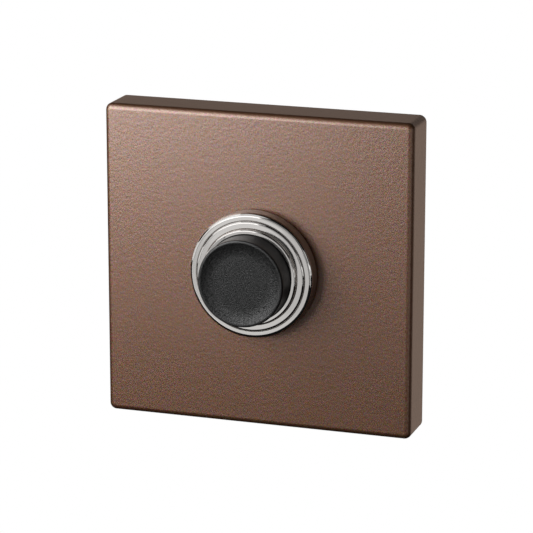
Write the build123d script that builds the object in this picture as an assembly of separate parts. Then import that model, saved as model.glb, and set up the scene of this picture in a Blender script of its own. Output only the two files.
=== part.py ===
from build123d import *
import math
import os

# Doorbell push button on a square rose, in millimetres.
# The origin is the centre of the wall plane, +Z is up and the button faces -Y.
# Stations along the depth are distances in front of the wall, so they are -Y.

# Rose cover
plate_side = 50.0
plate_depth = 7.1
plate_wall = 1.6
front_edge_radius = 0.95
corner_round_excess = 0.15
inner_corner_radius = 0.6
pry_notch_width = 8.0
pry_notch_depth = 0.9

# Mounting plate that the cover clicks onto
under_thickness = 2.8
under_fit = 0.3
under_edge_chamfer = 0.4
fixing_hole_radius = 2.2
countersink_radius = 4.0
centre_hole_room = 0.7
spring_bar_thickness = 1.1
spring_bar_length = 16.0
spring_slot_width = 1.0
nib_length = 6.0
nib_height = 1.5
nib_reach = 0.55
nib_start = 0.8
nib_room = 0.2

# Button
button_radius = 6.88
button_proud = 3.79
button_edge_round = 0.3
button_wall = 1.2
face_thickness = 1.3
rim_width = 0.43
dish_depth = 0.5
dish_floor_radius = 4.05
dish_edge_round = 0.25
flange_overlap = 0.6
flange_thickness = 1.2
stem_radius = 1.9
pin_radius = 1.0
pin_tail = 0.4
travel = 2.2
rest_gap = 0.05
stop_gap = 0.15
contact_gap_left = 0.05

# Bezel
button_clearance = 0.1
inner_land = 0.64
second_ring_tread = 1.1
first_ring_tread = 1.28
first_ring_height = 2.45
second_ring_rise = 0.32
third_ring_rise = 0.75
first_ring_round = 0.7
second_ring_round = 0.35
third_ring_round = 0.3
bore_edge_round = 0.1
ring_crown = 0.06
land_crown = 0.09
ring_groove_width = 0.12
ring_groove_depth = 0.22
lip_depth = 1.94
barrel_wall = 1.32
barrel_step = 0.3
barrel_step_setback = 0.8
barrel_chamfer = 0.4
barrel_tail = 0.75
hole_clearance = 0.1
key_width = 2.0
key_length = 2.0
key_fit = 0.1

# Sealing ring under the bezel's head
seal_thickness = 0.65
seal_inset = 0.35
seal_fit = 0.05

# Lock washer and nut
washer_thickness = 0.6
washer_overlap = 0.9
washer_tooth_length = 0.9
washer_tooth_count = 12
nut_wall = 1.5
nut_thickness = 2.4
nut_chamfer = 0.5
thread_fit = 0.02

# Switch housing
bore_fit = 0.05
sleeve_wall = 1.33
spring_room = 4.4
web_thickness = 1.4
spring_boss_height = 0.9
stem_clearance = 0.1
bridge_rest_gap = 0.6

# Return spring
spring_radius = 3.6
spring_wire = 0.56
spring_turns = 6.5
spring_fit = 0.2

# Contacts and terminals
bridge_thickness = 0.6
bridge_margin = 1.4
pin_fit = 0.02
retainer_thickness = 0.4
retainer_radius = 2.2
rivet_dome = 0.45
rivet_head_radius = 1.1
rivet_shank_radius = 0.6
rivet_tail_radius = 0.95
rivet_tail_thickness = 0.35
rivet_pocket_room = 0.15
strip_thickness = 0.5
strip_width = 3.6
strip_bend_round = 0.4
strip_inner_reach = 1.4
leg_inset = 0.7
contact_inset = 1.9
carrier_thickness = 3.6
leg_fit = 0.05
tab_width = 4.2
tab_inner_reach = 1.8
screw_inset = 2.6
clamp_side = 4.2
clamp_thickness = 0.6
clamp_hole_room = 0.2
terminal_screw_radius = 1.25
terminal_screw_bite = 2.4
terminal_head_radius = 2.1
terminal_head_height = 1.3
driver_slot_width = 0.6
driver_slot_depth = 0.6
barrier_thickness = 1.0
barrier_height = 2.2
barrier_inset = 0.7

# Snap ring
ring_thickness = 0.8
ring_groove_bite = 0.42
ring_axial_room = 0.05
ring_radial_room = 0.03
ring_width = 1.6
ring_gap_angle = 64.0
ring_lug_radius = 0.95
ring_lug_hole_radius = 0.45

# Radii worked out from the sizes above
bore_radius = button_radius + button_clearance
dish_radius = button_radius - rim_width
dish_slope_width = dish_radius - dish_floor_radius
dish_arc_radius = (dish_slope_width ** 2 + dish_depth ** 2) / (2 * dish_depth)
dish_corner_radius = dish_floor_radius + (dish_slope_width ** 2 + dish_depth ** 2) / (2 * dish_slope_width)
third_ring_radius = bore_radius + inner_land
second_ring_radius = third_ring_radius + second_ring_tread
ring_radii = [second_ring_radius + first_ring_tread, second_ring_radius, third_ring_radius]
flange_radius = bore_radius + flange_overlap
front_bore_radius = flange_radius + button_clearance
rear_bore_radius = front_bore_radius + barrel_step
barrel_radius = front_bore_radius + barrel_wall
cover_hole_radius = barrel_radius + hole_clearance
nut_half_flats = barrel_radius + nut_wall
nut_corner_radius = nut_half_flats / math.cos(math.pi / 6)
centre_hole_radius = nut_corner_radius + centre_hole_room
sleeve_radius = rear_bore_radius - bore_fit
sleeve_inner_radius = sleeve_radius - sleeve_wall
stem_hole_radius = stem_radius + stem_clearance
spring_boss_radius = spring_radius - spring_wire / 2 - spring_fit
leg_outer = sleeve_inner_radius - leg_inset
contact_offset = leg_outer - contact_inset
screw_offset = leg_outer - screw_inset
bridge_radius = contact_offset + bridge_margin
corner_radius = front_edge_radius + corner_round_excess
plate_half = plate_side / 2
cavity_half = plate_half - plate_wall
under_half = cavity_half - under_fit
fixing_offset = (centre_hole_radius + under_half) / 2

# Stations along the depth, in front of the wall
cavity_front = plate_depth - plate_wall
bezel_seat = plate_depth + seal_thickness
ring_tops = [
    bezel_seat + first_ring_height,
    bezel_seat + first_ring_height + second_ring_rise,
    bezel_seat + first_ring_height + second_ring_rise + third_ring_rise,
]
button_front = ring_tops[2] + button_proud
button_underside = button_front - dish_depth - face_thickness
lip_shoulder = ring_tops[2] - lip_depth
flange_front = lip_shoulder - rest_gap
flange_rear = flange_front - flange_thickness
sleeve_front = flange_rear - travel - stop_gap
barrel_shoulder = sleeve_front - barrel_step_setback
web_front = sleeve_front - spring_room
web_rear = web_front - web_thickness
bridge_front = web_rear - bridge_rest_gap
bridge_rear = bridge_front - bridge_thickness
retainer_rear = bridge_rear - retainer_thickness
pin_end = retainer_rear - pin_tail
strip_front = bridge_rear - travel - contact_gap_left - rivet_dome
carrier_front = strip_front - strip_thickness
carrier_rear = carrier_front - carrier_thickness
ring_rear = carrier_rear - ring_thickness
barrel_end = ring_rear - ring_axial_room - barrel_tail
tab_rear = carrier_rear - strip_thickness
clamp_rear = tab_rear - clamp_thickness
washer_rear = cavity_front - washer_thickness
nut_rear = washer_rear - nut_thickness


def turned(points):
    """Solid turned about the depth axis from (radius, station) points; a third value rounds that corner."""
    corners = [Vector(point[0], -point[1], 0) for point in points]
    outline = Wire.make_polygon(corners, close=True)
    for point, corner in zip(points, corners):
        if len(point) == 3:
            nearest = min(outline.vertices(), key=lambda v: (Vector(v) - corner).length)
            outline = outline.fillet_2d(point[2], [nearest])
    return revolve(Face(outline), axis=Axis.Y)


def rod(radius, rear, front, x=0.0, z=0.0):
    """Plain cylinder along the depth between two stations."""
    blank = turned([(0, rear), (radius, rear), (radius, front), (0, front)])
    return Pos(x, 0, z) * blank


def tube(inner, outer, rear, front):
    """Plain ring along the depth between two stations."""
    return turned([(inner, rear), (outer, rear), (outer, front), (inner, front)])


def slab(x_low, x_high, rear, front, z_low, z_high):
    """Block between two stations of the depth."""
    middle = Pos((x_low + x_high) / 2, -(rear + front) / 2, (z_low + z_high) / 2)
    return middle * Box(x_high - x_low, front - rear, z_high - z_low)


def rose_cover():
    """Hollow square cover with rounded front edges, the bezel's hole and the snap grooves."""
    body = slab(-plate_half, plate_half, 0, plate_depth, -plate_half, plate_half)
    body = fillet(body.edges().filter_by(Axis.Y), corner_radius)
    body = fillet(body.faces().sort_by(Axis.Y)[0].edges(), front_edge_radius)
    cavity = slab(-cavity_half, cavity_half, 0, cavity_front, -cavity_half, cavity_half)
    cavity = fillet(cavity.edges().filter_by(Axis.Y), inner_corner_radius)
    body -= cavity
    body -= rod(cover_hole_radius, cavity_front, plate_depth)
    groove_half = nib_length / 2 + nib_room
    groove_rear = nib_start - nib_room
    groove_front = nib_start + nib_height + nib_room
    groove_floor = under_half + nib_reach
    body -= slab(-groove_floor, groove_floor, groove_rear, groove_front, -groove_half, groove_half)
    notch_half = pry_notch_width / 2
    body -= slab(-notch_half, notch_half, 0, pry_notch_depth, -plate_half, -cavity_half)
    return body


def mounting_plate():
    """Moulded plate with countersunk fixing holes and two spring bars whose nibs hold the cover."""
    body = slab(-under_half, under_half, 0, under_thickness, -under_half, under_half)
    body = fillet(body.edges().filter_by(Axis.Y), inner_corner_radius)
    body = chamfer(body.faces().sort_by(Axis.Y)[0].edges(), under_edge_chamfer)
    body -= rod(centre_hole_radius, 0, under_thickness)
    cone_depth = countersink_radius - fixing_hole_radius
    fixing_hole = turned([
        (0, 0),
        (fixing_hole_radius, 0),
        (fixing_hole_radius, under_thickness - cone_depth),
        (countersink_radius, under_thickness),
        (0, under_thickness),
    ])
    slot_inner = under_half - spring_bar_thickness - spring_slot_width
    slot_outer = under_half - spring_bar_thickness
    bar_half = spring_bar_length / 2
    nib_tip = under_half + nib_reach
    nib_outline = [
        (under_half, nib_start),
        (nib_tip, nib_start + nib_height * 0.4),
        (nib_tip, nib_start + nib_height * 0.6),
        (under_half, nib_start + nib_height),
        (slot_outer, nib_start + nib_height),
        (slot_outer, nib_start),
    ]
    nib_face = Face(Wire.make_polygon([Vector(x, -y, 0) for x, y in nib_outline], close=True))
    nib = extrude(nib_face, amount=nib_length / 2, both=True, dir=(0, 0, 1))
    for side in (-1, 1):
        body -= Pos(0, 0, side * fixing_offset) * fixing_hole
    for turn in (0, 180):
        slot = slab(slot_inner, slot_outer, 0, under_thickness, -bar_half, bar_half)
        body -= Rot(0, turn, 0) * slot
        body += Rot(0, turn, 0) * nib
    return body


def bezel_ring():
    """Turned bezel: three rounded steps in front, and the barrel with its bores and snap ring groove."""
    groove_radius = rear_bore_radius + ring_groove_bite
    outline = [
        (rear_bore_radius, barrel_end),
        (rear_bore_radius, ring_rear - ring_axial_room),
        (groove_radius, ring_rear - ring_axial_room),
        (groove_radius, carrier_rear),
        (rear_bore_radius, carrier_rear),
        (rear_bore_radius, barrel_shoulder),
        (front_bore_radius, barrel_shoulder),
        (front_bore_radius, lip_shoulder),
        (bore_radius, lip_shoulder),
        (bore_radius, ring_tops[2], bore_edge_round),
        (ring_radii[2], ring_tops[2] - land_crown, third_ring_round),
    ]
    for i, ring_round in ((1, second_ring_round), (0, first_ring_round)):
        outline += [
            (ring_radii[i + 1], ring_tops[i] - ring_groove_depth),
            (ring_radii[i + 1] + ring_groove_width, ring_tops[i], ring_groove_width * 0.8),
            (ring_radii[i], ring_tops[i] - ring_crown, ring_round),
        ]
    outline += [
        (ring_radii[0], bezel_seat),
        (barrel_radius, bezel_seat),
        (barrel_radius, barrel_end + barrel_chamfer),
        (barrel_radius - barrel_chamfer, barrel_end),
    ]
    body = turned(outline)
    notch_half = key_width / 2 + key_fit
    notch_front = carrier_rear + key_length + key_fit
    body -= slab(-notch_half, notch_half, barrel_end, notch_front, 0, barrel_radius)
    return body


def sealing_ring():
    """Flat rubber ring between the bezel's head and the cover."""
    inner = barrel_radius + seal_fit
    return tube(inner, ring_radii[0] - seal_inset, plate_depth, bezel_seat)


def lock_washer():
    """Washer with teeth that point inwards to the barrel."""
    tooth_tip = cover_hole_radius
    tooth_root = tooth_tip + washer_tooth_length
    body = tube(tooth_tip, tooth_root + washer_overlap, washer_rear, cavity_front)
    gap_half = math.pi * tooth_tip / washer_tooth_count / 2
    gap = slab(-gap_half, gap_half, washer_rear, cavity_front, 0, tooth_root)
    for i in range(washer_tooth_count):
        body -= Rot(0, i * 360 / washer_tooth_count, 0) * gap
    return body


def bezel_nut():
    """Thin hexagon nut with its corners turned off on both faces."""
    hexagon = RegularPolygon(nut_corner_radius, 6)
    blank = extrude(Plane.XZ * hexagon, amount=nut_thickness)
    blank = Pos(0, -nut_rear, 0) * blank
    rim = nut_corner_radius - nut_chamfer
    turned_envelope = turned([
        (barrel_radius + thread_fit, nut_rear),
        (rim, nut_rear),
        (nut_corner_radius, nut_rear + nut_chamfer / 2),
        (nut_corner_radius, washer_rear - nut_chamfer / 2),
        (rim, washer_rear),
        (barrel_radius + thread_fit, washer_rear),
    ])
    return blank & turned_envelope


def switch_housing():
    """Insulating sleeve with a web that guides the stem and seats the spring."""
    nose_radius = front_bore_radius - bore_fit
    boss_front = web_front + spring_boss_height
    return turned([
        (stem_hole_radius, web_rear),
        (sleeve_inner_radius, web_rear),
        (sleeve_inner_radius, carrier_front),
        (sleeve_radius, carrier_front),
        (sleeve_radius, barrel_shoulder),
        (nose_radius, barrel_shoulder),
        (nose_radius, sleeve_front),
        (sleeve_inner_radius, sleeve_front),
        (sleeve_inner_radius, web_front),
        (spring_boss_radius, web_front),
        (spring_boss_radius, boss_front),
        (stem_hole_radius, boss_front),
    ])


def push_button():
    """Moulded button: dished cap, out-stop flange, and the stem with the pin for the bridge."""
    spigot_rear = button_underside - spring_boss_height
    dish_floor = button_front - dish_depth
    return turned([
        (0, pin_end),
        (pin_radius, pin_end, pin_tail / 2),
        (pin_radius, bridge_front),
        (stem_radius, bridge_front),
        (stem_radius, spigot_rear),
        (spring_boss_radius, spigot_rear),
        (spring_boss_radius, button_underside),
        (button_radius - button_wall, button_underside),
        (button_radius - button_wall, flange_rear),
        (flange_radius, flange_rear),
        (flange_radius, flange_front),
        (button_radius, flange_front),
        (button_radius, button_front, button_edge_round),
        (dish_radius, button_front, dish_edge_round),
        (dish_corner_radius, dish_floor, dish_arc_radius - 2 * dish_edge_round),
        (0, dish_floor),
    ])


def contact_bridge():
    """Brass disc on the button's pin that joins the two contact points."""
    return tube(pin_radius + pin_fit, bridge_radius, bridge_rear, bridge_front)


def bridge_retainer():
    """Push-on clip behind the disc, with four notches that make its spring tongues."""
    hole_radius = pin_radius + pin_fit
    body = tube(hole_radius, retainer_radius, retainer_rear, bridge_rear)
    notch_half = retainer_thickness / 2
    notch_reach = (hole_radius + retainer_radius) / 2
    for quarter in range(4):
        notch = slab(-notch_half, notch_half, retainer_rear, bridge_rear, 0, notch_reach)
        body -= Rot(0, 45 + quarter * 90, 0) * notch
    return body


def return_spring():
    """Open coil from the housing's web to the button's underside, ground flat at both ends."""
    length = button_underside - web_front
    pitch = length / spring_turns
    path = Helix(pitch, length, spring_radius, center=(0, -web_front, 0), direction=(0, -1, 0))
    section = Plane(origin=path @ 0, z_dir=path % 0) * Circle(spring_wire / 2)
    coil = sweep(section, path=path, is_frenet=True)
    reach = spring_radius + spring_wire
    return coil & slab(-reach, reach, web_front, button_underside, -reach, reach)


def contact_carrier():
    """Moulded rear block with slots for the strips, screw holes, a barrier and a key for the barrel."""
    body = rod(sleeve_radius, carrier_rear, carrier_front)
    key_half = key_width / 2
    key_front = carrier_rear + key_length
    body += slab(-key_half, key_half, carrier_rear, key_front, 0, barrel_radius)
    barrier_half = barrier_thickness / 2
    barrier_reach = sleeve_inner_radius - barrier_inset
    barrier_rear = carrier_rear - barrier_height
    body += slab(-barrier_half, barrier_half, barrier_rear, carrier_rear, -barrier_reach, barrier_reach)
    leg_half = strip_width / 2 + leg_fit
    slot_inner = leg_outer - strip_thickness - leg_fit
    slot = slab(slot_inner, leg_outer + leg_fit, carrier_rear, carrier_front, -leg_half, leg_half)
    screw_hole = rod(terminal_screw_radius + thread_fit, carrier_rear, carrier_rear + terminal_screw_bite)
    pocket_depth = rivet_tail_thickness + rivet_pocket_room
    pocket_radius = rivet_tail_radius + rivet_pocket_room
    pocket = rod(pocket_radius, carrier_front - pocket_depth, carrier_front)
    for side, turn in ((1, 0), (-1, 180)):
        body -= Rot(0, turn, 0) * slot
        body -= Pos(side * screw_offset, 0, 0) * screw_hole
        body -= Pos(side * contact_offset, 0, 0) * pocket
    return body


def terminal(turn):
    """Brass strip bent to a U: contact arm in front, leg through the block, wire tab behind."""
    strip_half = strip_width / 2
    tab_half = tab_width / 2
    leg_inner = leg_outer - strip_thickness
    arm_inner = contact_offset - strip_inner_reach
    tab_inner = screw_offset - tab_inner_reach
    body = slab(arm_inner, leg_outer, carrier_front, strip_front, -strip_half, strip_half)
    body += slab(leg_inner, leg_outer, tab_rear, strip_front, -strip_half, strip_half)
    body += slab(tab_inner, leg_outer, tab_rear, carrier_rear, -tab_half, tab_half)
    outer_edges = body.edges().filter_by(Axis.Z).group_by(Axis.X)[-1].group_by(Axis.Y)
    body = fillet([*outer_edges[0], *outer_edges[-1]], strip_bend_round)
    body -= rod(rivet_shank_radius + pin_fit, carrier_front, strip_front, x=contact_offset)
    body -= rod(terminal_screw_radius + clamp_hole_room, tab_rear, carrier_rear, x=screw_offset)
    return Rot(0, turn, 0) * body


def contact_rivets():
    """Two contact points: a domed head in front of the strip and a clinched tail behind it."""
    dome_front = strip_front + rivet_dome
    rivet = turned([
        (0, carrier_front - rivet_tail_thickness),
        (rivet_tail_radius, carrier_front - rivet_tail_thickness),
        (rivet_tail_radius, carrier_front),
        (rivet_shank_radius, carrier_front),
        (rivet_shank_radius, strip_front),
        (rivet_head_radius, strip_front),
        (rivet_head_radius, dome_front, rivet_dome * 0.8),
        (0, dome_front),
    ])
    return [Pos(side * contact_offset, 0, 0) * rivet for side in (-1, 1)]


def terminal_clamps():
    """Two square washers that press the bared wires on the tabs."""
    half = clamp_side / 2
    plate = slab(-half, half, clamp_rear, tab_rear, -half, half)
    plate = chamfer(plate.edges().filter_by(Axis.Y), clamp_thickness / 2)
    plate -= rod(terminal_screw_radius + clamp_hole_room, clamp_rear, tab_rear)
    return [Pos(side * screw_offset, 0, 0) * plate for side in (-1, 1)]


def terminal_screws():
    """Two slotted screws with rounded heads."""
    head_rear = clamp_rear - terminal_head_height
    screw = turned([
        (0, head_rear),
        (terminal_head_radius, head_rear, terminal_head_height / 2),
        (terminal_head_radius, clamp_rear),
        (terminal_screw_radius, clamp_rear),
        (terminal_screw_radius, carrier_rear + terminal_screw_bite),
        (0, carrier_rear + terminal_screw_bite),
    ])
    slot_half = driver_slot_width / 2
    reach = terminal_head_radius
    screw -= slab(-reach, reach, head_rear, head_rear + driver_slot_depth, -slot_half, slot_half)
    return [Pos(side * screw_offset, 0, 0) * screw for side in (-1, 1)]


def retaining_ring():
    """Internal snap ring, open at the bottom, with an eyed lug at each end."""
    outer = rear_bore_radius + ring_groove_bite - ring_radial_room
    inner = outer - ring_width
    body = tube(inner, outer, ring_rear, carrier_rear)
    half_gap = math.radians(ring_gap_angle / 2)
    reach = 2 * outer
    corners = [(0, 0), (-reach * math.tan(half_gap), -reach), (reach * math.tan(half_gap), -reach)]
    gap_face = Face(Wire.make_polygon([Vector(x, 0, z) for x, z in corners], close=True))
    gap = extrude(gap_face, amount=barrel_end - plate_depth, both=True, dir=(0, 1, 0))
    body -= gap
    lug_orbit = inner + ring_lug_radius / 2
    for side in (-1, 1):
        lug_x = side * lug_orbit * math.sin(half_gap)
        lug_z = -lug_orbit * math.cos(half_gap)
        body += rod(ring_lug_radius, ring_rear, carrier_rear, x=lug_x, z=lug_z)
        body -= rod(ring_lug_hole_radius, ring_rear, carrier_rear, x=lug_x, z=lug_z)
    return body


pieces = {
    "rose_cover": rose_cover(),
    "mounting_plate": mounting_plate(),
    "bezel_ring": bezel_ring(),
    "sealing_ring": sealing_ring(),
    "lock_washer": lock_washer(),
    "bezel_nut": bezel_nut(),
    "switch_housing": switch_housing(),
    "contact_carrier": contact_carrier(),
    "retaining_ring": retaining_ring(),
    "left_terminal": terminal(180),
    "right_terminal": terminal(0),
    "contact_rivets": contact_rivets(),
    "terminal_clamps": terminal_clamps(),
    "terminal_screws": terminal_screws(),
    "push_button": push_button(),
    "contact_bridge": contact_bridge(),
    "bridge_retainer": bridge_retainer(),
    "return_spring": return_spring(),
}

os.makedirs("parts", exist_ok=True)
for name, piece in pieces.items():
    shape = Compound(children=piece) if isinstance(piece, list) else piece
    export_step(shape, f"parts/{name}.step")
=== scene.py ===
import logging
import math
from dataclasses import dataclass
from enum import Enum
from typing import ClassVar

import bmesh
import bpy
import numpy as np
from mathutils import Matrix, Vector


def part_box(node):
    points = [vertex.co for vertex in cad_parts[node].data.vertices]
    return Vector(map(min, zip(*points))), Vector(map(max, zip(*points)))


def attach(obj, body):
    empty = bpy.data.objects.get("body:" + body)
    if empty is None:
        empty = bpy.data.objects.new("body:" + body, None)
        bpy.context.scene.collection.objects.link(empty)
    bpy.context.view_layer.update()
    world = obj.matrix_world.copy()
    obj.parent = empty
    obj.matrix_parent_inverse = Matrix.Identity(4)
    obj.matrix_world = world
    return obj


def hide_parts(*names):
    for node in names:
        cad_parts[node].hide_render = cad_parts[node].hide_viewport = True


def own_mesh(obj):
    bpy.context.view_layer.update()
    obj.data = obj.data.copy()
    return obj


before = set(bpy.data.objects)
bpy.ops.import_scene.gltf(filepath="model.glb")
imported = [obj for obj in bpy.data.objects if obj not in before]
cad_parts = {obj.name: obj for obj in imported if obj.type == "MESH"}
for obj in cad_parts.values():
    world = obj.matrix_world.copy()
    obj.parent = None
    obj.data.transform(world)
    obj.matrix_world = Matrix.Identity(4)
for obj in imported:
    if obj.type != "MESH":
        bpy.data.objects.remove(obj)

LOG = logging.getLogger("doorbell_push")

MM = 0.001
# Turn between two faces, in degrees, past which their edge is shaded sharp.
SHARP_TURN = 32.0
# Longest run between the points of a profile that shines, in millimetres.
SHINE_STEP = 0.12
# How far a cutter reaches past the faces that it cuts, in millimetres.
OVERRUN = 1.0
# A length that counts as none, in millimetres.
TINY = 1e-6
# Distance within which points become one, in metres.
WELD = 1e-7
# Range that a noise pattern seldom leaves.
NOISE_LOW, NOISE_HIGH = 0.3, 0.7
# Sockets of a mix node: its share, the two values or colours that it mixes, and what comes out.
MIX_SHARE, VALUE_A, VALUE_B, COLOUR_A, COLOUR_B = 0, 2, 3, 6, 7
VALUE_OUT, COLOUR_OUT = 0, 2


class Body(Enum):
    """The two rigid bodies: what is fixed to the wall, and what the finger moves."""

    HOUSING = "housing"
    PLUNGER = "plunger"


# Shapes. Sizes are in millimetres; a station is a distance in front of the wall, along -Y.


def extent(node: str) -> tuple[np.ndarray, np.ndarray]:
    """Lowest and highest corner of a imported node.

    Args:
        node: the node's name.

    Returns:
        Two arrays of x, y and z in millimetres.
    """
    low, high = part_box(node)
    return np.array(low) / MM, np.array(high) / MM


def rounded(corners: list[tuple[float, ...]], step: float = 5.0) -> np.ndarray:
    """Profile whose marked corners are arcs.

    A corner (r, a) stays. A corner (r, a, R) becomes the arc of radius R that touches both its legs:
    where h is half the inside angle, the centre lies R / sin h along the bisector and the legs are met
    R / tan h away.

    Args:
        corners: points of a closed profile, in order, each with a radius if it is round.
        step: largest turn between neighbouring points of an arc, in degrees.

    Returns:
        Array of (r, a) points.
    """
    points = np.array([corner[:2] for corner in corners], float)
    earlier, later = np.roll(points, 1, 0), np.roll(points, -1, 0)
    runs = []
    for here, before, after, corner in zip(points, earlier, later, corners):
        if len(corner) == 2:
            runs.append(here[None])
            continue
        back = (before - here) / np.linalg.norm(before - here)
        ahead = (after - here) / np.linalg.norm(after - here)
        half = 0.5 * math.acos(float(back @ ahead))
        bisector = (back + ahead) / np.linalg.norm(back + ahead)
        centre = here + bisector * corner[2] / math.sin(half)
        start = here + back * corner[2] / math.tan(half) - centre
        turn = math.copysign(math.pi - 2 * half, back[1] * ahead[0] - back[0] * ahead[1])
        angles = np.linspace(0, turn, math.ceil(math.degrees(abs(turn)) / step) + 1)
        quarter = np.array((-start[1], start[0]))
        runs.append(centre + np.outer(np.cos(angles), start) + np.outer(np.sin(angles), quarter))
    return np.concatenate(runs)


def fine(profile: np.ndarray, step: float) -> np.ndarray:
    """Profile with points added along its length, so that no run is longer than the step.

    Args:
        profile: array of (r, a) points.
        step: longest run, in millimetres.

    Returns:
        Array of (r, a) points that holds the old ones.
    """
    runs = np.linalg.norm(np.diff(profile, axis=0), axis=1)
    travelled = np.concatenate(([0.0], np.cumsum(runs)))
    places = np.union1d(travelled, np.arange(0.0, travelled[-1], step))
    return np.stack([np.interp(places, travelled, profile[:, i]) for i in (0, 1)], axis=-1)


def turned(profile: np.ndarray, segments: int) -> np.ndarray:
    """Grid of a profile turned about the depth axis: x = r cos t, y = -a, z = r sin t.

    Args:
        profile: array of (r, a) points.
        segments: number of steps of t in a full turn.

    Returns:
        Array of points, rows along the profile and columns round the axis.
    """
    angle = np.linspace(0, 2 * np.pi, segments, endpoint=False)
    radius, station = profile[:, :1], profile[:, 1:]
    depth = np.broadcast_to(-station, (len(profile), segments))
    return np.stack((radius * np.cos(angle), depth, radius * np.sin(angle)), axis=-1)


def square_path(half: float, radius: float, side_steps: int = 24, arc_steps: int = 8) -> np.ndarray:
    """Outline of a square with round corners.

    A quarter arc and the straight run after it are turned by 90 degrees for each side.

    Args:
        half: half of the square's side.
        radius: radius of its corners.
        side_steps: steps along a straight run.
        arc_steps: steps along a corner.

    Returns:
        Array of (x, z) points, in order round the square.
    """
    angle = np.linspace(0, np.pi / 2, arc_steps + 1)
    arc = (half - radius) + radius * np.stack((np.cos(angle), np.sin(angle)), axis=-1)
    next_arc_start = np.array((-arc[0, 1], arc[0, 0]))
    run = np.linspace(arc[-1], next_arc_start, side_steps + 1)[1:-1]
    quarter_turn = np.array(((0.0, 1.0), (-1.0, 0.0)))
    sides = [np.concatenate((arc, run))]
    for _ in range(3):
        sides.append(sides[-1] @ quarter_turn)
    return np.concatenate(sides)


def skin(name: str, grid: np.ndarray, closed: bool = True, sharp: float = SHARP_TURN) -> bpy.types.Object:
    """Mesh object of quads between the neighbours of a grid, with its poles welded and its faces outwards.

    Args:
        name: name of the object.
        grid: array of points in millimetres, rows by columns; the columns always close on themselves.
        closed: whether the last row joins the first.
        sharp: turn between two faces, in degrees, past which their edge is shaded sharp.

    Returns:
        The new object, linked to the scene, at the origin.
    """
    rows, columns = grid.shape[:2]
    row = np.arange(rows if closed else rows - 1)[:, None] * columns
    next_row = (row + columns) % (rows * columns)
    column = np.arange(columns)[None, :]
    next_column = (column + 1) % columns
    corners = (row + column, row + next_column, next_row + next_column, next_row + column)
    quads = np.stack(corners, axis=-1)
    mesh = bpy.data.meshes.new(name)
    mesh.from_pydata((grid * MM).reshape(-1, 3).tolist(), [], quads.reshape(-1, 4).tolist())
    work = bmesh.new()
    work.from_mesh(mesh)
    bmesh.ops.remove_doubles(work, verts=work.verts, dist=WELD)
    bmesh.ops.recalc_face_normals(work, faces=work.faces)
    work.to_mesh(mesh)
    work.free()
    shade(mesh, sharp)
    piece = bpy.data.objects.new(name, mesh)
    bpy.context.scene.collection.objects.link(piece)
    return piece


def shade(mesh: bpy.types.Mesh, sharp: float) -> None:
    """Shade a mesh smooth, with edges that turn by more than this many degrees kept sharp."""
    mesh.polygons.foreach_set("use_smooth", np.ones(len(mesh.polygons), bool))
    mesh.set_sharp_from_angle(angle=math.radians(sharp))


def block(low: tuple[float, float, float], high: tuple[float, float, float]) -> bpy.types.Object:
    """Box between two corners, as a square path at two heights with a pole at either end.

    Args:
        low: lowest x, y and z, in millimetres.
        high: highest x, y and z, in millimetres.

    Returns:
        The new object, used as a cutter.
    """
    path = np.array(((-1, -1), (1, -1), (1, 1), (-1, 1))) / 2
    levels = ((0.0, -0.5), (1.0, -0.5), (1.0, 0.5), (0.0, 0.5))
    unit = np.array([np.column_stack((path * scale, np.full(4, level))) for scale, level in levels])
    middle, size = np.add(low, high) / 2, np.subtract(high, low)
    return skin("cutter", middle + unit * size, closed=False)


def cut(piece: bpy.types.Object, cutters: list[bpy.types.Object]) -> None:
    """Take closed cutters away from a closed piece, and remove them.

    Args:
        piece: the object whose mesh is cut.
        cutters: closed objects that reach past the faces that they cut.
    """
    for cutter in cutters:
        step = piece.modifiers.new("cut", "BOOLEAN")
        step.operation = "DIFFERENCE"
        step.solver = "EXACT"
        step.object = cutter
    whole = piece.data
    done = piece.evaluated_get(bpy.context.evaluated_depsgraph_get())
    piece.data = bpy.data.meshes.new_from_object(done)
    piece.modifiers.clear()
    piece.data.name = whole.name
    bpy.data.meshes.remove(whole)
    for cutter in cutters:
        bpy.data.meshes.remove(cutter.data)
    shade(piece.data, SHARP_TURN)


# Finishes. Colours are sRGB hex values, and pattern sizes are millimetres on the object.


def linear(colour: str) -> tuple[float, float, float, float]:
    """Turn an sRGB colour to a linear one.

    Args:
        colour: hex value such as #7d6356.

    Returns:
        Linear red, green and blue, and an alpha of one.
    """
    channels = np.array([int(colour[i:i + 2], 16) for i in (1, 3, 5)]) / 255
    values = np.where(channels <= 0.04045, channels / 12.92, ((channels + 0.055) / 1.055) ** 2.4)
    return (*values.tolist(), 1.0)


def add_node(
    tree: bpy.types.NodeTree, kind: str, inputs: dict[str | int, object] | None = None, **settings: object,
) -> bpy.types.Node:
    """Add one node to a tree.

    Args:
        tree: the node tree.
        kind: name of the node's type.
        inputs: socket name or number to a value, or to the output that is linked there.
        settings: the node's own properties.

    Returns:
        The new node.
    """
    node = tree.nodes.new(kind)
    for name, value in settings.items():
        setattr(node, name, value)
    for name, value in (inputs or {}).items():
        if isinstance(value, bpy.types.NodeSocket):
            tree.links.new(value, node.inputs[name])
        else:
            node.inputs[name].default_value = value
    return node


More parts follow.
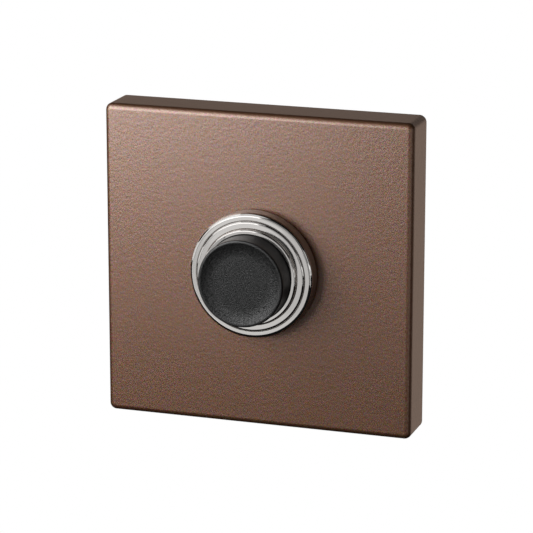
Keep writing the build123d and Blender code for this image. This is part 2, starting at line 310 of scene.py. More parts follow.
@dataclass(frozen=True)
class Finish:
    """A surface: a mottled base colour, a fine grain in relief, and gloss that follows the grain.

    Fields: grain is the width of a grain and relief its height, mottle is the width of the lighter and
    darker patches, mottle_share is how far they leave the base colour, gloss_share is how far the grain
    changes the roughness, and stretch draws the grain out along an axis.
    """

    name: str
    colour: str
    roughness: float
    metallic: float = 0.0
    specular: float = 0.5
    ior: float = 1.5
    grain: float = 0.3
    relief: float = 0.002
    mottle: float = 4.0
    mottle_share: float = 0.1
    gloss_share: float = 0.15
    stretch: tuple[float, float, float] = (1.0, 1.0, 1.0)

    def material(self) -> bpy.types.Material:
        """Build the finish.

        Returns:
            The new material, named as the finish is.
        """
        material = bpy.data.materials.new(self.name)
        material.use_nodes = True
        tree = material.node_tree
        tree.nodes.clear()
        shader = add_node(tree, "ShaderNodeBsdfPrincipled", {
            "Base Color": linear(self.colour),
            "Roughness": self.roughness,
            "Metallic": self.metallic,
            "Specular IOR Level": self.specular,
            "IOR": self.ior,
        })
        add_node(tree, "ShaderNodeOutputMaterial", {"Surface": shader.outputs["BSDF"]})
        place = add_node(tree, "ShaderNodeTexCoord").outputs["Object"]
        self.pattern(tree, shader, place)
        return material

    def pattern(
        self, tree: bpy.types.NodeTree, shader: bpy.types.Node, place: bpy.types.NodeSocket,
    ) -> None:
        """Add the grain, the mottling and the change of gloss.

        Args:
            tree: the material's tree.
            shader: its shader node.
            place: object coordinates, in metres.
        """
        drawn = add_node(tree, "ShaderNodeMapping", {"Vector": place, "Scale": self.stretch})
        grain = self.add_grain(tree, shader, drawn.outputs["Vector"])
        patches = add_node(tree, "ShaderNodeTexNoise", {
            "Vector": place, "Scale": 1 / (self.mottle * MM), "Detail": 3.0,
        })
        self.tone(tree, shader, patches.outputs["Fac"])
        gloss = add_node(tree, "ShaderNodeMapRange", {
            "Value": grain, "From Min": NOISE_LOW, "From Max": NOISE_HIGH,
            "To Min": self.roughness * (1 - self.gloss_share),
            "To Max": self.roughness * (1 + self.gloss_share),
        })
        tree.links.new(gloss.outputs["Result"], shader.inputs["Roughness"])

    def add_grain(
        self, tree: bpy.types.NodeTree, shader: bpy.types.Node, place: bpy.types.NodeSocket,
        normals: tuple[str, ...] = ("Normal",), strength: float | bpy.types.NodeSocket = 1.0,
    ) -> bpy.types.NodeSocket:
        """Add the grain and let the surface tilt with it.

        Args:
            tree: the material's tree.
            shader: its shader node.
            place: coordinates that the grain follows, in metres.
            normals: the shader's normals that the relief tilts.
            strength: share of the relief that shows.

        Returns:
            Output with the height of the grain, from 0 to 1.
        """
        grain = add_node(tree, "ShaderNodeTexNoise", {
            "Vector": place, "Scale": 1 / (self.grain * MM), "Detail": 2.0, "Roughness": 0.5,
        }).outputs["Fac"]
        relief = add_node(tree, "ShaderNodeBump", {
            "Height": grain, "Distance": self.relief * MM, "Strength": strength,
        })
        for normal in normals:
            tree.links.new(relief.outputs["Normal"], shader.inputs[normal])
        return grain

    def tone(
        self, tree: bpy.types.NodeTree, shader: bpy.types.Node, pattern: bpy.types.NodeSocket,
    ) -> None:
        """Let a pattern darken and lighten the base colour.

        Args:
            tree: the material's tree.
            shader: its shader node.
            pattern: values about 0.5.
        """
        base = np.array(linear(self.colour))
        ramp = add_node(tree, "ShaderNodeValToRGB", {"Fac": pattern})
        for end, side, stop in zip(ramp.color_ramp.elements, (-1, 1), (NOISE_LOW, NOISE_HIGH)):
            end.position = stop
            end.color = (*np.clip(base[:3] * (1 + side * self.mottle_share), 0, 1), 1.0)
        tree.links.new(ramp.outputs["Color"], shader.inputs["Base Color"])


def axis_distance(tree: bpy.types.NodeTree, place: bpy.types.NodeSocket) -> bpy.types.NodeSocket:
    """Distance from the depth axis: the length of a place whose y is taken away.

    Args:
        tree: the material's tree.
        place: object coordinates, in metres.

    Returns:
        Output with the distance, in metres.
    """
    flat = add_node(tree, "ShaderNodeVectorMath", {0: place, 1: (1.0, 0.0, 1.0)}, operation="MULTIPLY")
    length = add_node(tree, "ShaderNodeVectorMath", {0: flat.outputs["Vector"]}, operation="LENGTH")
    return length.outputs["Value"]


@dataclass(frozen=True)
class PowderCoat(Finish):
    """Powder coat with a metal pigment: brown flakes that scatter light widely, under a satin clear skin.

    The coat flows out to a fine leathery relief. Real flakes are finer than a pixel, so they are drawn
    coarser here. Each has its own tint, by up to half of flake_spread off the mean in red, green and blue.
    They show in full from face_blend in front of face_rear, on the flat face. On the rounded edges, where
    they lie too thin to be told apart, edge_share of their tint is left.
    """

    flake: float = 0.14
    flake_spread: tuple[float, float, float] = (2.1, 5.6, 10.0)
    face_rear: float = 6.95
    face_blend: float = 0.12
    edge_share: float = 0.25
    skin_roughness: float = 0.37
    skin_ior: float = 1.86

    def pattern(
        self, tree: bpy.types.NodeTree, shader: bpy.types.Node, place: bpy.types.NodeSocket,
    ) -> None:
        """Add the leathery relief, the flakes and the clear skin.

        Args:
            tree: the material's tree.
            shader: its shader node.
            place: object coordinates, in metres.
        """
        shader.inputs["Coat Weight"].default_value = 1.0
        shader.inputs["Coat Roughness"].default_value = self.skin_roughness
        shader.inputs["Coat IOR"].default_value = self.skin_ior
        self.add_grain(tree, shader, place, normals=("Normal", "Coat Normal"))
        flakes = add_node(tree, "ShaderNodeTexNoise", {
            "Vector": place, "Scale": 1 / (self.flake * MM), "Detail": 1.0,
        })
        base, spread = np.array(linear(self.colour)[:3]), np.array(self.flake_spread)
        tints = add_node(tree, "ShaderNodeVectorMath", {
            0: flakes.outputs["Color"], 1: base * spread, 2: base * (1 - spread / 2),
        }, operation="MULTIPLY_ADD")
        depth = add_node(tree, "ShaderNodeSeparateXYZ", {"Vector": place}).outputs["Y"]
        face = add_node(tree, "ShaderNodeMapRange", {
            "Value": depth, "To Min": self.edge_share,
            "From Min": -self.face_rear * MM, "From Max": -(self.face_rear + self.face_blend) * MM,
        })
        shown = add_node(tree, "ShaderNodeMix", {
            MIX_SHARE: face.outputs["Result"],
            COLOUR_A: linear(self.colour), COLOUR_B: tints.outputs["Vector"],
        }, data_type="RGBA")
        tree.links.new(shown.outputs[COLOUR_OUT], shader.inputs["Base Color"])


@dataclass(frozen=True)
class TurnedChrome(Finish):
    """Chrome plate on a turned ring, with painted shade in its narrow grooves and on its skirt, which are
    tinted dark and made rough there.

    Fields: painted_shade_bands are the inner and outer radii of the bands of painted shade with how strong
    it is, and head_rear is the station behind which these radii belong to other faces.
    """

    # Painted shade: dark, rough bands on the grooves between the rings and on the outer skirt, where shade
    # falls.
    painted_shade_bands: tuple[tuple[float, float, float], ...] = (
        (8.79, 8.89, 0.15), (7.64, 7.74, 0.05), (9.95, 10.05, 0.5),
    )
    head_rear: float = 7.7
    painted_shade_colour: str = "#1c1a19"
    painted_shade_roughness: float = 0.5

    def pattern(
        self, tree: bpy.types.NodeTree, shader: bpy.types.Node, place: bpy.types.NodeSocket,
    ) -> None:
        """Add the polish, and the painted shade in the grooves and on the skirt.

        Args:
            tree: the material's tree.
            shader: its shader node.
            place: object coordinates, in metres.
        """
        super().pattern(tree, shader, place)
        radius = axis_distance(tree, place)
        depth = add_node(tree, "ShaderNodeSeparateXYZ", {"Vector": place}).outputs["Y"]
        front = add_node(tree, "ShaderNodeMath", {0: depth, 1: -self.head_rear * MM}, operation="LESS_THAN")
        # Share of painted shade at each point: the grooves and the skirt of the head, not the faces behind
        # it.
        painted_shade = 0.0
        for inner, outer, share in self.painted_shade_bands:
            middle, half = (inner + outer) / 2 * MM, (outer - inner) / 2 * MM
            band = add_node(tree, "ShaderNodeMath", {0: radius, 1: middle, 2: half}, operation="COMPARE")
            painted_shade = add_node(tree, "ShaderNodeMath", {
                0: band.outputs[0], 1: share, 2: painted_shade,
            }, operation="MULTIPLY_ADD").outputs[0]
        painted_shade = add_node(tree, "ShaderNodeMath", {
            0: painted_shade, 1: front.outputs[0],
        }, operation="MULTIPLY").outputs[0]
        polish = shader.inputs["Roughness"].links[0].from_socket
        gloss = add_node(tree, "ShaderNodeMix", {
            MIX_SHARE: painted_shade, VALUE_A: polish, VALUE_B: self.painted_shade_roughness,
        }, data_type="FLOAT")
        tree.links.new(gloss.outputs[VALUE_OUT], shader.inputs["Roughness"])
        # Painted shade: the plate's colour goes dark within the bands.
        plate = shader.inputs["Base Color"].links[0].from_socket
        tint = add_node(tree, "ShaderNodeMix", {
            MIX_SHARE: painted_shade, COLOUR_A: plate, COLOUR_B: linear(self.painted_shade_colour),
        }, data_type="RGBA")
        tree.links.new(tint.outputs[COLOUR_OUT], shader.inputs["Base Color"])


@dataclass(frozen=True)
class GrainedCap(Finish):
    """Moulding whose face has an eroded grain with faint slanting streaks, and whose wall is smooth.

    Fields: face_radius bounds the grained face, which fades in over face_blend; wall_roughness and
    wall_specular are the gloss of the wall; streak_angle is the slope of the streaks, in degrees from +X
    towards +Z, and streak_draw their width as a share of their length.
    """

    face_radius: float = 6.55
    face_blend: float = 0.1
    wall_roughness: float = 0.42
    wall_specular: float = 0.5
    streak_angle: float = 38.0
    streak_draw: float = 0.35

    def pattern(
        self, tree: bpy.types.NodeTree, shader: bpy.types.Node, place: bpy.types.NodeSocket,
    ) -> None:
        """Add the face's grain and streaks, and the smooth wall.

        Args:
            tree: the material's tree.
            shader: its shader node.
            place: object coordinates, in metres.
        """
        face = add_node(tree, "ShaderNodeMapRange", {
            "Value": axis_distance(tree, place),
            "From Min": self.face_radius * MM, "From Max": (self.face_radius - self.face_blend) * MM,
        }).outputs["Result"]
        grain = self.add_grain(tree, shader, place, strength=face)
        along = add_node(tree, "ShaderNodeMapping", {
            "Vector": place, "Rotation": (0.0, math.radians(self.streak_angle), 0.0),
        })
        drawn = add_node(tree, "ShaderNodeMapping", {
            "Vector": along.outputs["Vector"], "Scale": (self.streak_draw, 1.0, 1.0),
        })
        streaks = add_node(tree, "ShaderNodeTexNoise", {
            "Vector": drawn.outputs["Vector"], "Scale": 1 / (self.mottle * MM), "Detail": 2.0,
        })
        self.tone(tree, shader, streaks.outputs["Fac"])
        sparkle = add_node(tree, "ShaderNodeMapRange", {
            "Value": grain, "From Min": NOISE_LOW, "From Max": NOISE_HIGH,
            "To Min": self.specular * (1 - self.mottle_share),
            "To Max": self.specular * (1 + self.mottle_share),
        })
        for socket, wall, grained in (
            ("Roughness", self.wall_roughness, self.roughness),
            ("Specular IOR Level", self.wall_specular, sparkle.outputs["Result"]),
        ):
            gloss = add_node(tree, "ShaderNodeMix", {
                MIX_SHARE: face, VALUE_A: wall, VALUE_B: grained,
            }, data_type="FLOAT")
            tree.links.new(gloss.outputs[VALUE_OUT], shader.inputs[socket])


# Powder coat on die-cast zinc: brown metal pigment that darkens away from the light, with a satin
# sheen over it.
COAT = PowderCoat("powder_coat_brown_metallic", "#744c30", 0.59, metallic=1.0, grain=0.46, relief=0.027)
# Chrome plate on polished brass: a grey mirror softened a little by the polish, with painted shade in the
# grooves.
CHROME = TurnedChrome(
    "chrome_plate_polished", "#cbc8c5", 0.07, metallic=1.0, grain=1.5, relief=0.0002,
    mottle=6.0, mottle_share=0.02, gloss_share=0.3,
)
# Black ABS from an eroded mould: a fine matt grain on the face, a smooth wall with a soft shine.
BUTTON_BLACK = GrainedCap(
    "abs_black_grained", "#1b1b1b", 0.38, specular=0.36, grain=0.16, relief=0.08,
    mottle=0.17, mottle_share=0.8,
)
# EPDM rubber: dull black with hardly any gloss.
RUBBER = Finish("epdm_rubber_black", "#161616", 0.8, specular=0.3, grain=0.2, relief=0.004)
# Glass-filled nylon: black with a faint fibrous bloom.
NYLON_BLACK = Finish(
    "nylon_glass_filled_black", "#202021", 0.55, grain=0.35, relief=0.005,
    mottle=1.2, mottle_share=0.2, stretch=(1.0, 0.35, 1.0),
)
# Light grey ABS: a satin moulding with a slight flow mottle.
ABS_GREY = Finish("abs_light_grey", "#c3c0b9", 0.45, grain=0.3, relief=0.004, mottle=9.0, mottle_share=0.03)
# Bare brass, turned or stamped: warm yellow with fine tool lines.
BRASS = Finish(
    "brass_bare", "#d8b568", 0.27, metallic=1.0, grain=0.25, relief=0.002,
    mottle=2.5, mottle_share=0.07, stretch=(1.0, 1.0, 0.15),
)
# Steel with bright zinc plate: cool grey, a faint crystalline cloud in the gloss.
ZINC_STEEL = Finish(
    "steel_zinc_plated", "#c9ccd0", 0.25, metallic=1.0, grain=0.3, relief=0.002,
    mottle=1.5, mottle_share=0.08,
)
# Oiled spring steel: dark grey, with a faint cloud of oil.
SPRING_STEEL = Finish(
    "spring_steel_oiled", "#85878a", 0.32, metallic=1.0, grain=0.25, relief=0.002,
    mottle=1.5, mottle_share=0.1,
)
# Silver contact metal: very pale, slightly soft.
SILVER = Finish(
    "silver_contact", "#e9e7e2", 0.22, metallic=1.0, grain=0.2, relief=0.001,
    mottle=0.8, mottle_share=0.04,
)


def dress(piece: bpy.types.Object, material: bpy.types.Material) -> None:
    """Give a piece one material in place of those that it has."""
    piece.data.materials.clear()
    piece.data.materials.append(material)


def stand_for(piece: bpy.types.Object, node: str, body: Body) -> None:
    """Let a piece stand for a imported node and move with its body.

    Args:
        piece: the new piece.
        node: the node that it replaces.
        body: the body that it rides on.
    """
    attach(piece, body.value)
    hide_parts(node)


# Sub-assemblies


@dataclass
class RoseCover:
    """Square hollow cover: rounded front edges, a round hole for the bezel, open towards the wall."""

    wall: float = 1.6
    front_round: float = 0.95
    round_rows: int = 13
    corner_round: float = 1.1
    inner_round: float = 0.6
    hole_radius: float = 9.1
    notch_width: float = 8.0
    notch_depth: float = 0.9
    snap_half_length: float = 3.2
    snap_depth: float = 0.25
    snap_stations: tuple[float, float] = (0.6, 2.5)
    crease: float = 0.02

    def grid(self) -> np.ndarray:
        """Carry a closed profile round the square: hole wall, face, quarter-round edge, side, rim, hollow.

        At turn t of the front edge the path is inset by R (1 - sin t) and lies R (1 - cos t) behind the
        face. A path a crease away from the round keeps the face and the side flat in shading.

        Returns:
            Array of points, rows along the profile and columns round the square.
        """
        low, high = extent("rose_cover")
        half, depth = high[0], -low[1]
        ceiling = depth - self.wall

        def outer(inset: float) -> np.ndarray:
            """Outline of the cover, drawn in by an inset."""
            return square_path(half - inset, max(self.corner_round - inset, self.crease))

        inner = square_path(half - self.wall, self.inner_round)
        hole = outer(0.0) / np.linalg.norm(outer(0.0), axis=1, keepdims=True) * self.hole_radius
        rows = [(hole, ceiling), (hole, depth), (outer(self.front_round + self.crease), depth)]
        rows += [
            (outer(self.front_round * (1 - math.sin(t))), depth - self.front_round * (1 - math.cos(t)))
            for t in np.linspace(0, np.pi / 2, self.round_rows)
        ]
        rows += [(outer(0.0), depth - self.front_round - self.crease), (outer(0.0), 0.0)]
        rows += [(inner, 0.0), (inner, ceiling)]
        return np.array([np.insert(path, 1, -station, axis=1) for path, station in rows])

    def build(self) -> bpy.types.Object:
        """Build the cover with its pry notch and snap grooves, and dress it.

        Returns:
            The cover.
        """
        low, high = extent("rose_cover")
        inside = high[0] - self.wall
        piece = skin("rose_cover_coated", self.grid())
        half_notch = self.notch_width / 2
        cutters = [block(
            (-half_notch, -self.notch_depth, low[2] - OVERRUN), (half_notch, OVERRUN, -inside + OVERRUN),
        )]
        near, far = self.snap_stations
        for side in (-1, 1):
            left, right = sorted((side * (inside - OVERRUN), side * (inside + self.snap_depth)))
            cutters.append(block(
                (left, -far, -self.snap_half_length), (right, -near, self.snap_half_length),
            ))
        cut(piece, cutters)
        dress(piece, COAT.material())
        stand_for(piece, "rose_cover", Body.HOUSING)
        return piece


@dataclass
class Bezel:
    """Turned bezel: a head of three rounded steps, and the threaded barrel that goes through the cover."""

    bore: float = 6.98
    ring_radii: tuple[float, float, float] = (10.0, 8.79, 7.64)
    ring_tops: tuple[float, float, float] = (10.2, 10.52, 11.27)
    ring_rounds: tuple[float, float, float] = (0.7, 0.42, 0.32)
    ring_crown: float = 0.06
    land_crown: float = 0.09
    bore_round: float = 0.04
    groove_width: float = 0.1
    groove_depth: float = 0.12
    groove_round: float = 0.08
    seat: float = 7.75
    lip_shoulder: float = 9.33
    front_bore: float = 7.68
    barrel_shoulder: float = 4.93
    rear_bore: float = 7.98
    snap_groove_bite: float = 0.42
    snap_groove: tuple[float, float] = (-8.92, -8.07)
    barrel: float = 9.0
    chamfer: float = 0.4
    thread_pitch: float = 1.0
    thread_depth: float = 0.5
    thread_flat: float = 0.15
    thread_front: float = 5.4
    thread_steps: int = 12
    key_width: float = 2.2
    key_front: float = -5.97
    segments: int = 160

    def profile(self) -> np.ndarray:
        """Closed outline: bores from the rear, the head's steps from the inside out, the barrel to the rear.

        Returns:
            Array of (r, a) points, close together on the head, where it shines, and on the thread.
        """
        rear = -extent("bezel_ring")[1][1]
        outer, middle, inner = self.ring_radii
        low, mid, top = self.ring_tops
        low_round, mid_round, top_round = self.ring_rounds
        near, far = self.snap_groove
        floor = self.rear_bore + self.snap_groove_bite
        bores = [
            (self.rear_bore, rear), (self.rear_bore, near), (floor, near), (floor, far),
            (self.rear_bore, far), (self.rear_bore, self.barrel_shoulder),
            (self.front_bore, self.barrel_shoulder), (self.front_bore, self.lip_shoulder),
        ]
        head = [
            (self.bore, self.lip_shoulder), (self.bore, top, self.bore_round),
            (inner, top - self.land_crown, top_round),
        ]
        for wall, step, height, radius in ((inner, middle, mid, mid_round), (middle, outer, low, low_round)):
            head += [
                (wall, height - self.groove_depth),
                (wall + self.groove_width, height, self.groove_round),
                (step, height - self.ring_crown, radius),
            ]
        head += [(outer, self.seat), (self.barrel, self.seat)]
        stations = np.arange(self.seat, rear + self.chamfer, -self.thread_pitch / self.thread_steps)
        barrel = np.column_stack((np.full(len(stations), self.barrel), stations))
        end = np.array(((self.barrel, rear + self.chamfer), (self.barrel - self.chamfer, rear)))
        return np.concatenate((np.array(bores), fine(rounded(head), SHINE_STEP), barrel[1:], end))

    def grid(self) -> np.ndarray:
        """Turn the outline and press the thread into the barrel.

        Where u is the share of a turn of the helix, a / pitch + t / (2 pi), the thread lies below the
        barrel's surface by its depth times a triangle wave of u. The wave is drawn out by thread_flat at
        either end and its tips are cut flat; the thread runs out near the seat.

        Returns:
            Array of points, rows along the outline and columns round the axis.
        """
        profile = self.profile()
        points = turned(profile, self.segments)
        angle = np.linspace(0, 2 * np.pi, self.segments, endpoint=False)
        radius, station = profile[:, :1], profile[:, 1:]
        share = np.mod(station / self.thread_pitch + angle / (2 * np.pi), 1.0)
        wave = np.abs(2 * share - 1)
        form = np.clip((1 + 2 * self.thread_flat) * wave - self.thread_flat, 0, 1)
        run_out = np.clip((self.thread_front - station) / self.thread_pitch, 0, 1)
        on_barrel = np.abs(radius - self.barrel) < TINY
        below = self.thread_depth * form * run_out * on_barrel
        points[..., 0] *= 1 - below / radius
        points[..., 2] *= 1 - below / radius
        return points

    def build(self) -> bpy.types.Object:
        """Build the bezel, cut its key notch, and dress it.

        Returns:
            The bezel.
        """
        rear = extent("bezel_ring")[1][1]
        piece = skin("bezel_chromed", self.grid())
        half = self.key_width / 2
        cut(piece, [block(
            (-half, -self.key_front, self.barrel / 2), (half, rear + OVERRUN, self.barrel + OVERRUN),
        )])
        dress(piece, CHROME.material())
        stand_for(piece, "bezel_ring", Body.HOUSING)
        return piece


@dataclass
class PushButton:
    """Moulded button: a dished cap with a rounded rim, a flange that stops it, and the stem with its pin."""

    radius: float = 6.88
    edge_round: float = 0.3
    rim_width: float = 0.43
    rim_round: float = 0.25
    dish_depth: float = 0.5
    dish_floor: float = 4.05
    wall: float = 1.2
    face: float = 1.3
    flange_radius: float = 7.58
    flange_stations: tuple[float, float] = (8.08, 9.28)
    spigot_radius: float = 3.12
    spigot_length: float = 0.9
    stem_radius: float = 1.9
    stem_rear: float = -0.67
    pin_radius: float = 1.0
    pin_round: float = 0.2
    cap_step: float = 2.0
    segments: int = 160

    def profile(self) -> np.ndarray:
        """Outline from the pin's end to the dish's middle.

        The dish has a flat floor that an arc lifts to the rim: where w is the width of the slope and d its
        rise, the arc's radius is (w w + d d) / (2 d), less twice the rim's round to leave room for that,
        and its legs meet (w w + d d) / (2 w) outside the floor. The cap's arcs turn by cap_step degrees
        from point to point.

        Returns:
            Array of (r, a) points that starts and ends on the axis.
        """
        low, high = extent("push_button")
        front, pin_end = -low[1], -high[1]
        underside = front - self.dish_depth - self.face
        rear, flange = self.flange_stations
        inner = self.radius - self.wall
        edge = self.radius - self.rim_width
        hidden = rounded([
            (0.0, pin_end), (self.pin_radius, pin_end, self.pin_round), (self.pin_radius, self.stem_rear),
            (self.stem_radius, self.stem_rear), (self.stem_radius, underside - self.spigot_length),
            (self.spigot_radius, underside - self.spigot_length), (self.spigot_radius, underside),
            (inner, underside), (inner, rear), (self.flange_radius, rear), (self.flange_radius, flange),
        ])
        slope = edge - self.dish_floor
        floor = front - self.dish_depth
        spread = slope ** 2 + self.dish_depth ** 2
        legs_meet = self.dish_floor + spread / (2 * slope)
        sweep = spread / (2 * self.dish_depth) - 2 * self.rim_round
        cap = rounded([
            (self.radius, flange), (self.radius, front, self.edge_round), (edge, front, self.rim_round),
            (legs_meet, floor, sweep), (0.0, floor),
        ], self.cap_step)
        return np.concatenate((hidden, fine(cap, SHINE_STEP)))

    def build(self) -> bpy.types.Object:
        """Build the button and dress it.

        Returns:
            The button.
        """
        piece = skin("push_button_grained", turned(self.profile(), self.segments), closed=False)
        dress(piece, BUTTON_BLACK.material())
        stand_for(piece, "push_button", Body.PLUNGER)
        return piece


@dataclass
class ReturnSpring:
    """Open coil spring with its ends ground flat, pressed together by the button."""

    radius: float = 3.6
    wire: float = 0.56
    turns: float = 6.5
    steps_per_turn: int = 48
    wire_steps: int = 14
    sharp: float = 50.0

    def grid(self, rear: float, front: float) -> np.ndarray:
        """Carry a circle along a helix, and grind both ends flat by clipping the stations to the seats.

        Args:
            rear: station of the seat on the housing.
            front: station of the seat in the button.

        Returns:
            Array of points, rows along the wire and columns round it; the end rows shrink to poles.
        """
        angle = np.linspace(0, 2 * np.pi * self.turns, int(self.turns * self.steps_per_turn) + 1)
        angle = np.concatenate((angle[:1], angle, angle[-1:]))[:, None]
        around = np.linspace(0, 2 * np.pi, self.wire_steps, endpoint=False)
        swell = np.full_like(angle, self.wire / 2)
        swell[[0, -1]] = 0.0
        radius = self.radius + swell * np.cos(around)
        station = rear + (front - rear) * angle / angle[-1] + swell * np.sin(around)
        station = np.clip(station, rear, front)
        return np.stack((radius * np.cos(angle), -station, radius * np.sin(angle)), axis=-1)

    def build(self) -> bpy.types.Object:
        """Build the spring, dress it, and give it a mesh of its own.

        Returns:
            The spring.
        """
        low, high = extent("return_spring")
        rear, front = -high[1], -low[1]
        piece = skin("return_spring_coil", self.grid(rear, front), closed=False, sharp=self.sharp)
        dress(piece, SPRING_STEEL.material())
        stand_for(piece, "return_spring", Body.HOUSING)
        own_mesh(piece)
        return piece


class PlainFittings:
    """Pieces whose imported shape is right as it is, and that only get their finish."""

    FINISHES: ClassVar[dict[str, Finish]] = {
        "mounting_plate": ABS_GREY,
        "sealing_ring": RUBBER,
        "lock_washer": ZINC_STEEL,
        "bezel_nut": BRASS,
        "switch_housing": NYLON_BLACK,
        "contact_carrier": NYLON_BLACK,
        "retaining_ring": SPRING_STEEL,
        "left_terminal": BRASS,
        "right_terminal": BRASS,
        "contact_rivets": SILVER,
        "terminal_clamps": ZINC_STEEL,
        "terminal_screws": ZINC_STEEL,
        "contact_bridge": BRASS,
        "bridge_retainer": SPRING_STEEL,
    }

    def dress(self) -> None:
        """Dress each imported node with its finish, which is made once."""
        for node, finish in self.FINISHES.items():
            dress(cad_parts[node], bpy.data.materials.get(finish.name) or finish.material())
            LOG.info("%s dressed in %s", node, finish.name)


# Studio


@dataclass(frozen=True)
class Softbox:
    """A flat light that faces the object: its place and sides in millimetres, and how bright its face is."""

    name: str
    place: tuple[float, float, float]
    sides: tuple[float, float]
    brightness: float
    colour: str = "#ffffff"
    spares: tuple[str, ...] = ()

    def build(self) -> None:
        """Hang the light; a face of radiance L gives L times pi times its area."""
        light = bpy.data.lights.new(self.name, "AREA")
        light.shape = "RECTANGLE"
        light.size, light.size_y = (side * MM for side in self.sides)
        light.energy = self.brightness * math.pi * light.size * light.size_y
        light.color = linear(self.colour)[:3]
        lamp = bpy.data.objects.new(self.name, light)
        bpy.context.scene.collection.objects.link(lamp)
        lamp.location = np.array(self.place) * MM
        lamp.rotation_euler = (-lamp.location).to_track_quat("-Z", "Y").to_euler()
        lamp.visible_camera = False
        if self.spares:
            self.spare(lamp)

    def spare(self, lamp: bpy.types.Object) -> None:
        """Keep the light off the pieces that it spares, as a flag would in a studio.

        Args:
            lamp: the light's object.
        """
        spared = bpy.data.collections.new(f"{self.name}_spares")
        for name in self.spares:
            spared.objects.link(bpy.data.objects[name])
        lamp.light_linking.receiver_collection = spared
        for entry in spared.collection_objects:
            entry.light_linking.link_state = "EXCLUDE"


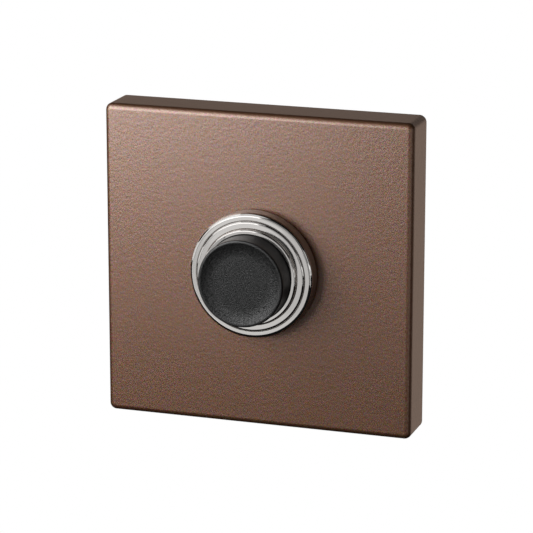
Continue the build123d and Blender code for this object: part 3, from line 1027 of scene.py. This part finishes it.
@dataclass
class Studio:
    """White surroundings, soft boxes in front and behind, and the camera at the photograph's view."""

    yaw: float = 18.527
    pitch: float = 15.011
    distance: float = 444.29
    side_shift: float = 0.7166
    height_shift: float = 0.968
    focal_pixels: float = 2822.04
    image_side: float = 533.0
    sensor: float = 36.0
    nearest: float = 10.0
    floor_height: float = -300.0
    floor_side: float = 6000.0
    ambient: float = 0.008
    white: str = "#ffffff"

    BODY: ClassVar[tuple[str, ...]] = ("rose_cover_coated", "push_button_grained")
    BEZEL: ClassVar[tuple[str, ...]] = ("bezel_chromed",)
    BUTTON: ClassVar[tuple[str, ...]] = ("push_button_grained",)
    LIGHTS: ClassVar[tuple[Softbox, ...]] = (
        # Light on the cover and the button.
        Softbox("key_box", (-94, -130, 52), (138, 124), 5.5, spares=BEZEL),
        Softbox("upper_left_box", (-117, -98, 129), (75, 75), 6.0, spares=BEZEL),
        Softbox("fill_card", (-128, -429, 38), (540, 300), 0.61, spares=BEZEL),
        Softbox("right_fill_card", (270, -350, 10), (260, 260), 0.83, "#ffe8d4", spares=BEZEL + BUTTON),
        # What the polished rings mirror.
        Softbox("front_card", (-49, -434, -109), (336, 310), 0.76, spares=BODY),
        Softbox("lower_left_card", (-253, -330, -172), (154, 167), 0.74, spares=BODY),
        Softbox("front_left_card", (-363, -254, -78), (110, 240), 1.0, spares=BODY),
        Softbox("low_card", (-169, -363, -204), (292, 95), 0.14, spares=BODY),
        Softbox("front_right_card", (211, -396, -31), (240, 225), 0.35, spares=BODY),
        Softbox("right_band_card", (439, -160, -14), (400, 105), 0.75, spares=BODY),
        Softbox("face_card", (-273, -356, -27), (167, 135), 0.58, spares=BODY),
        Softbox("land_card", (-145, -421, -60), (90, 72), 0.2, spares=BODY),
        Softbox("bright_card", (-261, -334, 150), (400, 232), 1.25, spares=BODY),
        Softbox("line_card", (-196, -385, 124), (208, 143), 1.1, spares=BODY),
        Softbox("upper_front_card", (45, -431, 120), (328, 167), 0.65, spares=BODY),
        Softbox("crest_card", (62, -349, 277), (328, 191), 0.22, spares=BODY),
        Softbox("upper_right_card", (275, -295, 205), (270, 260), 0.13, spares=BODY),
        Softbox("left_card", (-339, 18, 295), (560, 310), 0.95, spares=BODY),
        Softbox("left_low_card", (-449, 23, -4), (560, 118), 0.95, spares=BODY),
        Softbox("top_card", (-155, -214, 364), (300, 328), 0.85, spares=BODY),
        # Light on the right side, the edges and the back.
        Softbox("right_card", (890, -410, 170), (420, 420), 0.6, spares=BUTTON),
        Softbox("right_strip", (400, -275, -115), (40, 120), 2.2, spares=BUTTON),
        Softbox("back_right_card", (300, 620, -140), (700, 500), 0.53, "#ffe8d6"),
        Softbox("low_side_card", (390, 180, -80), (250, 250), 0.12, "#ffeee2", spares=BEZEL + BUTTON),
        Softbox("back_edge_card", (175, 620, 230), (230, 230), 0.3, "#ffeadc", spares=BEZEL + BUTTON),
        Softbox("back_left_card", (-240, 620, 150), (600, 400), 0.37, "#ffe8d8"),
    )

    def camera(self) -> None:
        """Stand the camera back along its own axis from the origin, shifted sideways and up."""
        yaw, pitch = math.radians(self.yaw), math.radians(self.pitch)
        ahead = math.cos(pitch)
        back = np.array((math.sin(yaw) * ahead, -math.cos(yaw) * ahead, math.sin(pitch)))
        right = np.array((math.cos(yaw), math.sin(yaw), 0.0))
        up = np.cross(back, right)
        data = bpy.data.cameras.new("photo_camera")
        data.sensor_width = self.sensor
        data.lens = self.focal_pixels / self.image_side * self.sensor
        data.clip_start = self.nearest * MM
        camera = bpy.data.objects.new("photo_camera", data)
        bpy.context.scene.collection.objects.link(camera)
        camera.location = (back * self.distance - right * self.side_shift - up * self.height_shift) * MM
        camera.rotation_euler = (math.pi / 2 - pitch, 0.0, yaw)
        bpy.context.scene.camera = camera

    def floor(self) -> None:
        """Lay a plain white floor well below, seen by the camera alone so that it throws no light up."""
        sizes = (self.floor_side / 2, TINY)
        paths = [square_path(size, size / 2, side_steps=2, arc_steps=4) for size in sizes]
        rows = [np.insert(path, 2, self.floor_height, axis=1) for path in paths]
        floor = skin("floor", np.array(rows), closed=False)
        material = bpy.data.materials.new("floor_white_board")
        material.use_nodes = True
        tree = material.node_tree
        tree.nodes.clear()
        glow = add_node(tree, "ShaderNodeEmission", {"Color": linear(self.white), "Strength": 1.0})
        add_node(tree, "ShaderNodeOutputMaterial", {"Surface": glow.outputs["Emission"]})
        dress(floor, material)
        floor.visible_diffuse = floor.visible_glossy = floor.visible_shadow = False

    def surroundings(self) -> None:
        """White to the camera, dim to the object, so that the soft boxes alone shape it."""
        world = bpy.data.worlds.new("studio")
        world.use_nodes = True
        tree = world.node_tree
        tree.nodes.clear()
        seen = add_node(tree, "ShaderNodeLightPath")
        level = add_node(tree, "ShaderNodeMapRange", {
            "Value": seen.outputs["Is Camera Ray"], "To Min": self.ambient, "To Max": 1.0,
        })
        glow = add_node(tree, "ShaderNodeBackground", {
            "Strength": level.outputs["Result"], "Color": linear(self.white),
        })
        add_node(tree, "ShaderNodeOutputWorld", {"Surface": glow.outputs["Background"]})
        bpy.context.scene.world = world

    def build(self) -> None:
        """Set up floor, surroundings, lights and camera, with colours shown as they are."""
        self.floor()
        self.surroundings()
        for box in self.LIGHTS:
            box.build()
        self.camera()
        bpy.context.scene.view_settings.view_transform = "Standard"


def main() -> None:
    """Build and dress the sub-assemblies, log their face counts, and set up the studio."""
    logging.basicConfig(level=logging.INFO, format="%(name)s: %(message)s")
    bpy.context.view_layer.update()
    for assembly in (RoseCover(), Bezel(), PushButton(), ReturnSpring()):
        piece = assembly.build()
        LOG.info("built %s: %d faces", piece.name, len(piece.data.polygons))
    PlainFittings().dress()
    Studio().build()


if __name__ == "__main__":
    main()
